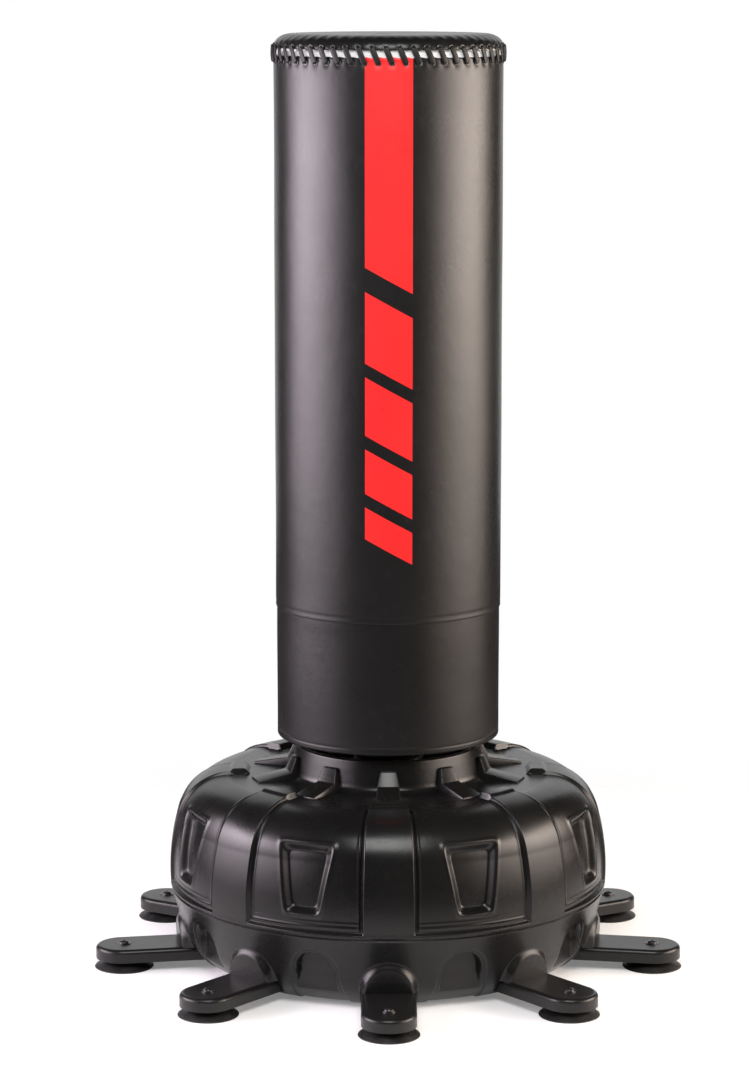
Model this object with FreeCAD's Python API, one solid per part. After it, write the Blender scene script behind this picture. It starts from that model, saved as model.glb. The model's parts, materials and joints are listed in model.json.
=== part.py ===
"""Free-standing punching bag: a foam-filled cylinder on a coil spring, over a
ballasted moulded tank with nine radial legs that end in suction cups.

Millimetres. +Z is up, the front of the bag faces -Y, and the origin is the
centre of the tank's underside, on the floor.
"""

import FreeCAD, Part
import math
import os

Vector = FreeCAD.Vector
UP = Vector(0, 0, 1)
ORIGIN = Vector(0, 0, 0)
FRONT_DEG = -90.0

# Driving dimensions: tank
BELT_R = 398.0
BELT_Z = 142.0
BELT_GROOVE_WIDTH = 6.0
BELT_GROOVE_DEPTH = 3.0
FOOT_R = 306.0
BOWL_R = 377.0
BOWL_Z = 66.0
BOWL_HEEL_RUN = 46.0
BOWL_HEEL_Z = 22.0
SHOULDER_R = 289.0
SHOULDER_Z = 350.0
WALL_LOW_Z = 206.0
WALL_HIP_R = 386.0
WALL_HIP_Z = 267.0
WALL_BEND_R = 354.0
WALL_BEND_Z = 324.0
TANK_WALL = 5.0
PANEL_RECESS = 6.0
COLLAR_FOOT_R = 192.0
COLLAR_BEND_R = 177.0
COLLAR_BEND_Z = 351.0
COLLAR_TOP_R = 168.0
COLLAR_TOP_Z = 402.0
WELL_MOUTH_R = 158.0
WELL_FLOOR_R = 150.0
WELL_FLOOR_Z = 300.0

# Driving dimensions: ribs, hooks and pockets round the tank
RIB_COUNT = 8
RIB_ANGLE = 13.0
RIB_TOP_RUN = 28.0
RIB_TOP_RISE = 5.0
HOOK_COUNT = 10
HOOK_WIDTH = 38.0
HOOK_TOP_R = 179.0
HOOK_TOP_Z = 384.0
HOOK_BEND_R = 190.0
HOOK_BEND_Z = 359.0
HOOK_TIP_R = 252.0
HOOK_TIP_Z = 347.0
POCKET_BOTTOM_Z = 176.0
POCKET_TOP_Z = 298.0
POCKET_TOP_WIDTH = 104.0
POCKET_BOTTOM_WIDTH = 66.0
POCKET_DEPTH = 12.0
POCKET_FRAME = 14.0
ARCH_WIDTH = 74.0
ARCH_TOP_Z = 108.0
ARCH_BACK_R = 362.0
BOSS_WIDTH = 104.0
BOSS_RISE = 54.0
BOSS_FACE_R = 389.0

# Driving dimensions: legs and suction cups
LEG_COUNT = 9
LEG_WIDTH = 96.0
LEG_THICKNESS = 24.0
LEG_ROOT_R = 190.0
LEG_TIP_R = 538.0
LEG_EDGE_FILLET = 8.0
LEG_WALL = 6.0
CUP_SCREW_R = 487.0
CHANNEL_CLEARANCE = 2.0
CUP_HEIGHT = 18.0
CUP_R = 53.5
CUP_NECK_R = 17.0
CUP_LIP = 2.0
CUP_SCREW_SHANK_R = 4.0
CUP_SCREW_HEAD_R = 8.5
CUP_WASHER_R = 12.0
CUP_WASHER_THICKNESS = 1.6
LEG_BOLT_SHANK_R = 5.0
LEG_BOLT_HEAD_R = 9.0
LEG_BOLT_HEAD_HEIGHT = 6.0
LEG_BOLT_RADII = (225.0, 315.0)
LEG_BOLT_ENGAGEMENT = 18.0
BOSS_WALL = 8.0

# Driving dimensions: spring mount
BASE_PLATE_R = 130.0
BASE_PLATE_THICKNESS = 8.0
PLATE_BOLT_COUNT = 6
BASE_BOLT_CIRCLE_R = 108.0
PLATE_BOLT_R = 5.0
PLATE_BOLT_HEAD_R = 8.5
PLATE_BOLT_HEAD_HEIGHT = 6.5
PLATE_BOLT_ENGAGEMENT = 20.0
SPRING_WIRE_R = 7.0
SPRING_MEAN_R = 58.0
SPRING_COILS = 5.0
SPRING_HEIGHT = 112.0
SPIGOT_R = 50.0
SPIGOT_WALL = 5.0
SPIGOT_HEIGHT = 16.0
TOP_PLATE_R = 110.0
TOP_PLATE_THICKNESS = 8.0

# Driving dimensions: bag
BAG_R = 203.0
SLEEVE_STEP = 2.0
SLEEVE_DROP = 10.0
SKIN_THICKNESS = 3.5
SEAM_Z = 654.0
BAG_TOP_Z = 1676.0
BOARD_THICKNESS = 18.0
CORE_R = 120.0
CORE_WALL = 5.0
CORE_FLOOR = 8.0
CLAMP_RING_THICKNESS = 5.0
CORE_BOLT_CIRCLE_R = 88.0
TOP_BOARD_THICKNESS = 12.0
TOP_PAD_THICKNESS = 48.0
CAP_EDGE_WIDTH = 33.0
CAP_EDGE_HEIGHT = 25.0
CAP_SKIRT_Z = 1649.0
COVER_HEM_Z = 1641.0
LACE_BAND_THICKNESS = 1.9
LACE_BAND_LOW_Z = 1600.0
LACE_COUNT = 54
LACE_CORD_R = 2.2
LACE_LOW_Z = 1629.0
LACE_HIGH_Z = 1655.5
LACE_SLANT_DEG = 3.2
EYELET_THICKNESS = 0.8
EYELET_BORE_R = 2.6
EYELET_R = 5.0

# Driving dimensions: filler plug
PLUG_RADIAL_PLACE = 243.0
PLUG_ANGLE_DEG = 72.0
PLUG_THREAD_R = 24.0
PLUG_THREAD_LENGTH = 14.0
PLUG_FLANGE_R = 33.0
PLUG_FLANGE_THICKNESS = 6.0
PLUG_GRIP_R = 22.0
PLUG_GRIP_HEIGHT = 12.0
SEAL_THICKNESS = 2.5

# Clearances
FIT_GAP = 0.1
SOFT_GAP = 0.3
THREAD_GAP = 0.05

# Derived places
LEG_UNDERSIDE_Z = CUP_HEIGHT
LEG_TOP_Z = LEG_UNDERSIDE_Z + LEG_THICKNESS
BOSS_TOP_Z = LEG_TOP_Z + BOSS_RISE
CHANNEL_WIDTH = LEG_WIDTH + 2 * CHANNEL_CLEARANCE
PANEL_SHOULDER_Z = SHOULDER_Z - PANEL_RECESS
LEG_STEP = 360.0 / LEG_COUNT
RIB_STEP = 360.0 / RIB_COUNT
HOOK_ROOT_R = (WELL_MOUTH_R + COLLAR_TOP_R) / 2.0
SPRING_FOOT_Z = WELL_FLOOR_Z + BASE_PLATE_THICKNESS
SPRING_TOP_Z = SPRING_FOOT_Z + SPRING_HEIGHT
BOARD_Z = SPRING_TOP_Z + TOP_PLATE_THICKNESS
BOARD_TOP_Z = BOARD_Z + BOARD_THICKNESS
BAG_BOTTOM_Z = BOARD_Z - SLEEVE_DROP
SLEEVE_R = BAG_R - SLEEVE_STEP
SLEEVE_INNER_R = SLEEVE_R - SKIN_THICKNESS
FOAM_R = SLEEVE_INNER_R - SOFT_GAP
COVER_INNER_R = BAG_R - SKIN_THICKNESS
TOP_PAD_TOP_Z = BAG_TOP_Z - SKIN_THICKNESS - SOFT_GAP
TOP_BOARD_Z = TOP_PAD_TOP_Z - TOP_PAD_THICKNESS - TOP_BOARD_THICKNESS
BAND_OUTER_R = FOAM_R + SOFT_GAP + LACE_BAND_THICKNESS


def at_angle(shape, degrees):
    """A copy of the shape turned about the vertical axis."""
    turned = shape.copy()
    turned.rotate(ORIGIN, UP, degrees)
    return turned


def around(shape, count, start=0.0):
    """Copies of the shape spaced evenly about the vertical axis."""
    return [at_angle(shape, start + 360.0 * i / count) for i in range(count)]


def outline(points):
    """A closed wire in the XZ plane. A point with four numbers is the end of an arc: the
    arc's middle comes first."""
    edges = []
    place = Vector(points[0][0], 0, points[0][1])
    start = place
    for point in points[1:]:
        if len(point) == 4:
            middle = Vector(point[0], 0, point[1])
            end = Vector(point[2], 0, point[3])
            edges.append(Part.Arc(place, middle, end).toShape())
        else:
            end = Vector(point[0], 0, point[1])
            edges.append(Part.makeLine(place, end))
        place = end
    if place.distanceToPoint(start) > 1e-6:
        edges.append(Part.makeLine(place, start))
    return Part.Wire(edges)


def revolved(points, degrees=360.0):
    """The solid swept by a profile about the vertical axis, centred on +X if partial."""
    solid = Part.Face(outline(points)).revolve(ORIGIN, UP, degrees)
    if degrees < 360.0:
        solid.rotate(ORIGIN, UP, -degrees / 2.0)
    return solid


def cylinder(radius, low, high, x=0.0, y=0.0):
    return Part.makeCylinder(radius, high - low, Vector(x, y, low), UP)


def ring(inner, outer, low, high, x=0.0, y=0.0):
    return cylinder(outer, low, high, x, y).cut(cylinder(inner, low, high, x, y))


def block(x0, x1, y0, y1, z0, z1):
    return Part.makeBox(x1 - x0, y1 - y0, z1 - z0, Vector(x0, y0, z0))


def polar(radius, degrees):
    return radius * math.cos(math.radians(degrees)), radius * math.sin(math.radians(degrees))


def hexagon(across_radius, low, high, x=0.0, y=0.0):
    corners = [
        Vector(
            x + across_radius * math.cos(math.pi / 3 * i),
            y + across_radius * math.sin(math.pi / 3 * i),
            low,
        )
        for i in range(7)
    ]
    return Part.Face(Part.makePolygon(corners)).extrude(Vector(0, 0, high - low))


# Tank

def wall_points(inset):
    """The tank's side from the belt up to the shoulder, moved inward by the inset."""
    return [
        (BELT_R - inset, BELT_Z),
        (BELT_R - inset - 1.0, WALL_LOW_Z, WALL_HIP_R - inset, WALL_HIP_Z),
        (WALL_BEND_R - inset, WALL_BEND_Z, SHOULDER_R - inset / 3.0, SHOULDER_Z - inset),
    ]


def bowl_points(inset):
    """The tank's lower bowl from the foot up to the belt."""
    return [
        (FOOT_R, inset),
        (FOOT_R + BOWL_HEEL_RUN - inset, BOWL_HEEL_Z + inset / 2.0, BOWL_R - inset, BOWL_Z),
        (BELT_R - inset, BELT_Z),
    ]


def tank_outside():
    panels = wall_points(PANEL_RECESS)
    lip = BELT_Z + 5.0
    body = revolved(
        [(0, 0)]
        + bowl_points(0.0)
        + [(BELT_R, lip), (panels[0][0], lip + PANEL_RECESS / 2.0)]
        + panels[1:]
        + [
            (COLLAR_FOOT_R, PANEL_SHOULDER_Z),
            (COLLAR_BEND_R, COLLAR_BEND_Z),
            (COLLAR_TOP_R, COLLAR_TOP_Z),
            (WELL_MOUTH_R, COLLAR_TOP_Z),
            (WELL_FLOOR_R, WELL_FLOOR_Z),
            (0, WELL_FLOOR_Z),
        ]
    )
    groove = ring(
        BELT_R - BELT_GROOVE_DEPTH,
        BELT_R + 20.0,
        BELT_Z - BELT_GROOVE_WIDTH,
        BELT_Z,
    )
    return body.cut(groove)


def rib():
    """One raised band from the belt up over the tank's shoulder."""
    inside = SHOULDER_R - RIB_TOP_RUN - 12.0
    return revolved(
        [(inside, BELT_Z)]
        + wall_points(0.0)
        + [
            (SHOULDER_R - RIB_TOP_RISE, SHOULDER_Z + RIB_TOP_RISE),
            (SHOULDER_R - RIB_TOP_RUN, SHOULDER_Z + RIB_TOP_RISE),
            (SHOULDER_R - RIB_TOP_RUN - 8.0, PANEL_SHOULDER_Z - 1.0),
            (inside, PANEL_SHOULDER_Z - 30.0),
        ],
        RIB_ANGLE,
    )


def hook():
    """One of the stiffeners that stand against the collar and run out along the shoulder."""
    low = PANEL_SHOULDER_Z - TANK_WALL
    side = Part.Face(
        outline(
            [
                (HOOK_ROOT_R, low),
                (HOOK_ROOT_R, HOOK_TOP_Z),
                (HOOK_TOP_R, HOOK_TOP_Z),
                (HOOK_BEND_R, HOOK_BEND_Z),
                (HOOK_TIP_R, HOOK_TIP_Z),
                (HOOK_TIP_R + 3.0, low),
            ]
        )
    )
    solid = side.extrude(Vector(0, HOOK_WIDTH, 0))
    solid.translate(Vector(0, -HOOK_WIDTH / 2.0, 0))
    return solid


def side_pocket(grow):
    """The tapered recess between two ribs, grown outward all round by a wall."""
    low_r = BELT_R - PANEL_RECESS - POCKET_DEPTH - grow - 2.0
    lean = (BELT_R - WALL_HIP_R + 12.0) / (WALL_HIP_Z - BELT_Z)

    def trapezoid(offset, margin):
        shape = []
        for width, z, side in (
            (POCKET_BOTTOM_WIDTH, POCKET_BOTTOM_Z, -1),
            (POCKET_BOTTOM_WIDTH, POCKET_BOTTOM_Z, 1),
            (POCKET_TOP_WIDTH, POCKET_TOP_Z, 1),
            (POCKET_TOP_WIDTH, POCKET_TOP_Z, -1),
        ):
            high = z + (margin if z == POCKET_TOP_Z else -margin)
            x = low_r + offset - lean * (high - POCKET_BOTTOM_Z)
            shape.append(Vector(x, side * (width / 2.0 + margin), high))
        return Part.makePolygon(shape + [shape[0]])

    floor = trapezoid(0.0, grow - POCKET_FRAME)
    mouth = trapezoid(POCKET_DEPTH + grow + 2.0, grow)
    outer = trapezoid(POCKET_DEPTH + grow + 40.0, grow + 6.0)
    return Part.makeLoft([floor, mouth, outer], True, True)


def arch(width, top_z, inner_r, outer_r, low_z):
    """A round-topped block along +X."""
    half = width / 2.0
    spring_z = top_z - half
    wire = Part.Wire(
        [
            Part.makeLine(Vector(inner_r, -half, low_z), Vector(inner_r, half, low_z)),
            Part.makeLine(Vector(inner_r, half, low_z), Vector(inner_r, half, spring_z)),
            Part.Arc(
                Vector(inner_r, half, spring_z),
                Vector(inner_r, 0, top_z),
                Vector(inner_r, -half, spring_z),
            ).toShape(),
            Part.makeLine(Vector(inner_r, -half, spring_z), Vector(inner_r, -half, low_z)),
        ]
    )
    return Part.Face(wire).extrude(Vector(outer_r - inner_r, 0, 0))


def leg_channel(grow):
    half = CHANNEL_WIDTH / 2.0 + grow
    root = LEG_ROOT_R - CHANNEL_CLEARANCE - grow
    return block(root, BELT_R + 60.0, -half, half, -1.0, LEG_TOP_Z + grow)


def leg_bolt_places():
    return [polar(r, 0.0) for r in LEG_BOLT_RADII]


def plug_place():
    return polar(PLUG_RADIAL_PLACE, PLUG_ANGLE_DEG)


def tank_cavity():
    """The water space: the outside moved inward by the wall, clear of every recess."""
    inner_bowl = bowl_points(TANK_WALL)
    inner_wall = wall_points(PANEL_RECESS + TANK_WALL)
    ceiling = PANEL_SHOULDER_Z - TANK_WALL
    space = revolved(
        [(0, TANK_WALL)]
        + inner_bowl
        + inner_wall[1:2]
        + [
            (
                WALL_BEND_R - PANEL_RECESS - 0.7 * TANK_WALL,
                WALL_BEND_Z - 0.7 * TANK_WALL,
                SHOULDER_R - TANK_WALL,
                ceiling,
            ),
            (WELL_FLOOR_R + 3.0 * TANK_WALL, ceiling),
            (WELL_FLOOR_R + TANK_WALL, WELL_FLOOR_Z - TANK_WALL),
            (0, WELL_FLOOR_Z - TANK_WALL),
        ]
    )
    tools = []
    tools += around(side_pocket(TANK_WALL), RIB_COUNT, FRONT_DEG + RIB_STEP / 2.0)
    tools += around(leg_channel(TANK_WALL), LEG_COUNT, FRONT_DEG)
    arch_wall = arch(
        ARCH_WIDTH + 2 * TANK_WALL,
        ARCH_TOP_Z + TANK_WALL,
        ARCH_BACK_R - TANK_WALL,
        BELT_R + 60.0,
        -1.0,
    )
    tools += around(arch_wall, LEG_COUNT, FRONT_DEG + LEG_STEP / 2.0)
    boss_r = LEG_BOLT_SHANK_R + BOSS_WALL
    top = LEG_TOP_Z + LEG_BOLT_ENGAGEMENT + BOSS_WALL
    for x, y in leg_bolt_places():
        tools += around(cylinder(boss_r, 0.0, top, x, y), LEG_COUNT, FRONT_DEG)
    boss = cylinder(
        PLATE_BOLT_R + BOSS_WALL,
        WELL_FLOOR_Z - PLATE_BOLT_ENGAGEMENT - BOSS_WALL,
        WELL_FLOOR_Z,
        BASE_BOLT_CIRCLE_R,
    )
    tools += around(boss, PLATE_BOLT_COUNT)
    return space.cut(tools)


def base_tank():
    body = tank_outside()
    boss = arch(BOSS_WIDTH, BOSS_TOP_Z, FOOT_R, BOSS_FACE_R, LEG_TOP_Z)
    body = body.fuse(
        around(rib(), RIB_COUNT, FRONT_DEG)
        + around(hook(), HOOK_COUNT, FRONT_DEG)
        + around(boss, LEG_COUNT, FRONT_DEG)
    )
    cuts = around(side_pocket(0.0), RIB_COUNT, FRONT_DEG + RIB_STEP / 2.0)
    cuts += around(leg_channel(0.0), LEG_COUNT, FRONT_DEG)
    recess = arch(ARCH_WIDTH, ARCH_TOP_Z, ARCH_BACK_R, BELT_R + 60.0, -1.0)
    cuts += around(recess, LEG_COUNT, FRONT_DEG + LEG_STEP / 2.0)
    hole_top = LEG_TOP_Z + LEG_BOLT_ENGAGEMENT + 1.0
    for x, y in leg_bolt_places():
        hole = cylinder(LEG_BOLT_SHANK_R + FIT_GAP, LEG_TOP_Z - 1.0, hole_top, x, y)
        cuts += around(hole, LEG_COUNT, FRONT_DEG)
    hole = cylinder(
        PLATE_BOLT_R + FIT_GAP,
        WELL_FLOOR_Z - PLATE_BOLT_ENGAGEMENT - 1.0,
        WELL_FLOOR_Z + 1.0,
        BASE_BOLT_CIRCLE_R,
    )
    cuts += around(hole, PLATE_BOLT_COUNT)
    x, y = plug_place()
    cuts.append(
        cylinder(
            PLUG_THREAD_R + THREAD_GAP,
            PANEL_SHOULDER_Z - 2 * TANK_WALL,
            PANEL_SHOULDER_Z + 1.0,
            x,
            y,
        )
    )
    body = body.cut(cuts)
    return body.cut(tank_cavity()).removeSplitter()


def ballast_water():
    """The fill, as one block that stands clear of the tank's channels and bosses."""
    low = LEG_TOP_Z + LEG_BOLT_ENGAGEMENT + BOSS_WALL + 12.0
    high = WELL_FLOOR_Z - PLATE_BOLT_ENGAGEMENT - BOSS_WALL - 6.0
    core = LEG_ROOT_R - CHANNEL_CLEARANCE - TANK_WALL - 6.0
    outer = ARCH_BACK_R - TANK_WALL - 20.0
    return revolved(
        [
            (0, TANK_WALL),
            (core, TANK_WALL),
            (core, low),
            (outer, low),
            (outer, high - 10.0),
            (outer - 10.0, high),
            (0, high),
        ]
    )


# Filler plug

def fill_plug():
    x, y = plug_place()
    seat = PANEL_SHOULDER_Z + SEAL_THICKNESS
    flange_top = seat + PLUG_FLANGE_THICKNESS
    thread = cylinder(PLUG_THREAD_R, PANEL_SHOULDER_Z - PLUG_THREAD_LENGTH, seat, x, y)
    hollow = cylinder(
        PLUG_THREAD_R - 4.0, PANEL_SHOULDER_Z - PLUG_THREAD_LENGTH, seat - 1.0, x, y
    )
    flange = cylinder(PLUG_FLANGE_R, seat, flange_top, x, y)
    grip = block(-PLUG_GRIP_R, PLUG_GRIP_R, -4.0, 4.0, flange_top, flange_top + PLUG_GRIP_HEIGHT)
    grip.translate(Vector(x, y, 0))
    return thread.fuse([flange, grip]).cut(hollow).removeSplitter()


def fill_plug_seal():
    x, y = plug_place()
    return ring(
        PLUG_THREAD_R + FIT_GAP,
        PLUG_FLANGE_R - 2.0,
        PANEL_SHOULDER_Z,
        PANEL_SHOULDER_Z + SEAL_THICKNESS,
        x,
        y,
    )


# Legs

def leg_slab(width, root, tip, low, high):
    half = width / 2.0
    centre = tip - half
    wire = Part.Wire(
        [
            Part.makeLine(Vector(root, -half, low), Vector(centre, -half, low)),
            Part.Arc(
                Vector(centre, -half, low), Vector(tip, 0, low), Vector(centre, half, low)
            ).toShape(),
            Part.makeLine(Vector(centre, half, low), Vector(root, half, low)),
            Part.makeLine(Vector(root, half, low), Vector(root, -half, low)),
        ]
    )
    return Part.Face(wire).extrude(Vector(0, 0, high - low))


def leg():
    slab = leg_slab(LEG_WIDTH, LEG_ROOT_R, LEG_TIP_R, LEG_UNDERSIDE_Z, LEG_TOP_Z)
    top_edges = [
        edge
        for edge in slab.Edges
        if edge.BoundBox.ZMin > LEG_TOP_Z - 0.01 and edge.BoundBox.XMax > LEG_ROOT_R + 1.0
    ]
    slab = slab.makeFillet(LEG_EDGE_FILLET, top_edges)
    inside = leg_slab(
        LEG_WIDTH - 2 * LEG_WALL,
        LEG_ROOT_R + LEG_WALL,
        LEG_TIP_R - LEG_WALL,
        LEG_UNDERSIDE_Z - 1.0,
        LEG_TOP_Z - LEG_WALL,
    )
    keep = [
        block(LEG_ROOT_R, LEG_TIP_R, -LEG_WALL / 2.0, LEG_WALL / 2.0, 0.0, LEG_TOP_Z),
        cylinder(CUP_NECK_R + LEG_WALL / 2.0, 0.0, LEG_TOP_Z, CUP_SCREW_R),
    ]
    for x, y in leg_bolt_places():
        keep.append(cylinder(LEG_BOLT_HEAD_R + LEG_WALL, 0.0, LEG_TOP_Z, x, y))
    for i in range(1, 6):
        x = LEG_ROOT_R + i * (CUP_SCREW_R - LEG_ROOT_R) / 6.0
        keep.append(
            block(x - LEG_WALL / 3.0, x + LEG_WALL / 3.0, -LEG_WIDTH, LEG_WIDTH, 0.0, LEG_TOP_Z)
        )
    pocket = inside.cut(keep)
    holes = [cylinder(CUP_SCREW_SHANK_R + FIT_GAP, 0.0, LEG_TOP_Z + 1.0, CUP_SCREW_R)]
    for x, y in leg_bolt_places():
        holes.append(cylinder(LEG_BOLT_SHANK_R + FIT_GAP, 0.0, LEG_TOP_Z + 1.0, x, y))
        holes.append(
            cylinder(
                LEG_BOLT_HEAD_R + FIT_GAP,
                0.0,
                LEG_UNDERSIDE_Z + LEG_BOLT_HEAD_HEIGHT + 2.0,
                x,
                y,
            )
        )
    return slab.cut([pocket] + holes).removeSplitter()


def leg_bolts():
    """Two hexagon bolts up through each leg into the tank."""
    seat = LEG_UNDERSIDE_Z + LEG_BOLT_HEAD_HEIGHT + 2.0
    bolts = []
    for x, y in leg_bolt_places():
        head = hexagon(LEG_BOLT_HEAD_R, seat - LEG_BOLT_HEAD_HEIGHT, seat, x, y)
        shank = cylinder(LEG_BOLT_SHANK_R, seat, LEG_TOP_Z + LEG_BOLT_ENGAGEMENT, x, y)
        bolts += around(head.fuse(shank).removeSplitter(), LEG_COUNT, FRONT_DEG)
    return Part.makeCompound(bolts)


def suction_cup():
    """A rubber cup whose thin lip lies on the floor and whose neck meets the leg."""
    cup = revolved(
        [
            (0, CUP_HEIGHT),
            (CUP_NECK_R, CUP_HEIGHT),
            (CUP_NECK_R, CUP_HEIGHT - 4.0),
            (CUP_NECK_R + 5.0, CUP_HEIGHT - 6.5),
            (CUP_R - 16.0, CUP_HEIGHT - 9.0, CUP_R, CUP_LIP),
            (CUP_R, 0),
            (CUP_R - 3.0, 0),
            (CUP_R - 20.0, 4.4, CUP_R - 41.0, 6.0),
            (0, 6.0),
        ]
    )
    cup.translate(Vector(CUP_SCREW_R, 0, 0))
    bore = cylinder(CUP_SCREW_SHANK_R + FIT_GAP, CUP_HEIGHT - 8.0, CUP_HEIGHT + 1.0, CUP_SCREW_R)
    return cup.cut(bore)


def cup_washer():
    return ring(
        CUP_SCREW_SHANK_R + FIT_GAP,
        CUP_WASHER_R,
        LEG_TOP_Z,
        LEG_TOP_Z + CUP_WASHER_THICKNESS,
        CUP_SCREW_R,
    )


def cup_screw():
    """A domed screw with a cross recess, down through the leg into the cup."""
    seat = LEG_TOP_Z + CUP_WASHER_THICKNESS
    dome = 4.5
    edge = 1.5
    head = revolved(
        [
            (0, 0),
            (CUP_SCREW_HEAD_R, 0),
            (CUP_SCREW_HEAD_R, edge),
            (CUP_SCREW_HEAD_R * 0.62, dome * 0.86, 0, dome),
        ]
    )
    head.translate(Vector(CUP_SCREW_R, 0, seat))
    shank = cylinder(CUP_SCREW_SHANK_R, CUP_HEIGHT - 7.0, seat, CUP_SCREW_R)
    slots = [
        block(-4.2, 4.2, -0.8, 0.8, seat + dome - 2.6, seat + dome + 1.0),
        block(-0.8, 0.8, -4.2, 4.2, seat + dome - 2.6, seat + dome + 1.0),
    ]
    for slot in slots:
        slot.translate(Vector(CUP_SCREW_R, 0, 0))
    return head.fuse(shank).removeSplitter().cut(slots)


# Spring mount

def spigot(low, high):
    return ring(SPIGOT_R - SPIGOT_WALL, SPIGOT_R, low, high)


def bolt_holes(circle_r, low, high):
    return around(cylinder(PLATE_BOLT_R + FIT_GAP, low, high, circle_r), PLATE_BOLT_COUNT)


def spring_base_plate():
    plate = cylinder(BASE_PLATE_R, WELL_FLOOR_Z, SPRING_FOOT_Z)
    plate = plate.fuse(spigot(SPRING_FOOT_Z, SPRING_FOOT_Z + SPIGOT_HEIGHT)).removeSplitter()
    return plate.cut(bolt_holes(BASE_BOLT_CIRCLE_R, WELL_FLOOR_Z - 1.0, SPRING_FOOT_Z + 1.0))


def base_plate_bolts():
    head = hexagon(
        PLATE_BOLT_HEAD_R,
        SPRING_FOOT_Z,
        SPRING_FOOT_Z + PLATE_BOLT_HEAD_HEIGHT,
        BASE_BOLT_CIRCLE_R,
    )
    shank = cylinder(
        PLATE_BOLT_R, WELL_FLOOR_Z - PLATE_BOLT_ENGAGEMENT, SPRING_FOOT_Z, BASE_BOLT_CIRCLE_R
    )
    bolt = head.fuse(shank).removeSplitter()
    return Part.makeCompound(around(bolt, PLATE_BOLT_COUNT))


def coil_spring():
    """A round-wire helix whose first and last turns are seated on the plates."""
    rise = SPRING_HEIGHT - 2 * SPRING_WIRE_R
    pitch = rise / SPRING_COILS
    path = Part.makeHelix(pitch, rise, SPRING_MEAN_R)
    path.translate(Vector(0, 0, SPRING_FOOT_Z + SPRING_WIRE_R))
    tangent = Vector(0, 2 * math.pi * SPRING_MEAN_R, pitch)
    start = Vector(SPRING_MEAN_R, 0, SPRING_FOOT_Z + SPRING_WIRE_R)
    section = Part.Wire([Part.makeCircle(SPRING_WIRE_R, start, tangent)])
    return Part.Wire(path.Edges).makePipeShell([section], True, True)


def spring_top_plate():
    plate = cylinder(TOP_PLATE_R, SPRING_TOP_Z, BOARD_Z)
    plate = plate.fuse(spigot(SPRING_TOP_Z - SPIGOT_HEIGHT, SPRING_TOP_Z)).removeSplitter()
    return plate.cut(bolt_holes(CORE_BOLT_CIRCLE_R, SPRING_TOP_Z - 1.0, BOARD_Z + 1.0))


# Bag

def bag_base_board():
    board = cylinder(FOAM_R, BOARD_Z, BOARD_TOP_Z)
    return board.cut(bolt_holes(CORE_BOLT_CIRCLE_R, BOARD_Z - 1.0, BOARD_TOP_Z + 1.0))


def core_drum():
    """The hollow moulded core that the foam is wrapped round."""
    drum = cylinder(CORE_R, BOARD_TOP_Z, TOP_BOARD_Z)
    space = cylinder(CORE_R - CORE_WALL, BOARD_TOP_Z + CORE_FLOOR, TOP_BOARD_Z - CORE_WALL)
    holes = bolt_holes(CORE_BOLT_CIRCLE_R, BOARD_TOP_Z - 1.0, BOARD_TOP_Z + CORE_FLOOR + 1.0)
    return drum.cut([space] + holes)


def core_clamp_ring():
    low = BOARD_TOP_Z + CORE_FLOOR
    high = low + CLAMP_RING_THICKNESS
    half = PLATE_BOLT_HEAD_R + 6.0
    plate = ring(CORE_BOLT_CIRCLE_R - half, CORE_BOLT_CIRCLE_R + half, low, high)
    return plate.cut(bolt_holes(CORE_BOLT_CIRCLE_R, low - 1.0, high + 1.0))


def core_bolts():
    """Bolts up through the top plate, board, drum floor and clamp ring."""
    head = hexagon(
        PLATE_BOLT_HEAD_R,
        SPRING_TOP_Z - PLATE_BOLT_HEAD_HEIGHT,
        SPRING_TOP_Z,
        CORE_BOLT_CIRCLE_R,
    )
    top = BOARD_TOP_Z + CORE_FLOOR + CLAMP_RING_THICKNESS + 12.0
    shank = cylinder(PLATE_BOLT_R, SPRING_TOP_Z, top, CORE_BOLT_CIRCLE_R)
    return Part.makeCompound(around(head.fuse(shank).removeSplitter(), PLATE_BOLT_COUNT))


def core_nuts():
    low = BOARD_TOP_Z + CORE_FLOOR + CLAMP_RING_THICKNESS
    nut = hexagon(PLATE_BOLT_HEAD_R, low, low + 8.0, CORE_BOLT_CIRCLE_R)
    nut = nut.cut(cylinder(PLATE_BOLT_R + FIT_GAP, low, low + 8.0, CORE_BOLT_CIRCLE_R))
    return Part.makeCompound(around(nut, PLATE_BOLT_COUNT))


def foam_core():
    return ring(CORE_R + SOFT_GAP, FOAM_R, BOARD_TOP_Z, TOP_BOARD_Z)


def top_board():
    return cylinder(FOAM_R, TOP_BOARD_Z, TOP_BOARD_Z + TOP_BOARD_THICKNESS)


def cap_edge(radius, top):
    """The rounded edge where a side of the given radius turns into the flat top."""
    turn = 1.0 - math.sqrt(0.5)
    return [
        (radius, top - CAP_EDGE_HEIGHT),
        (
            radius - CAP_EDGE_WIDTH * turn,
            top - CAP_EDGE_HEIGHT * turn,
            radius - CAP_EDGE_WIDTH,
            top,
        ),
    ]


def top_pad():
    low = TOP_BOARD_Z + TOP_BOARD_THICKNESS
    edge = cap_edge(FOAM_R, TOP_PAD_TOP_Z)
    return revolved([(0, low), (FOAM_R, low)] + edge + [(0, TOP_PAD_TOP_Z)])


def lace_band():
    """The light liner that shows between the cover's hem and the cap."""
    high = TOP_PAD_TOP_Z - CAP_EDGE_HEIGHT
    return ring(FOAM_R + SOFT_GAP, BAND_OUTER_R, LACE_BAND_LOW_Z, high)


def bag_cover():
    return ring(COVER_INNER_R, BAG_R, SEAM_Z, COVER_HEM_Z)


def lower_sleeve():
    return ring(SLEEVE_INNER_R, SLEEVE_R, BAG_BOTTOM_Z, SEAM_Z)


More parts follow.
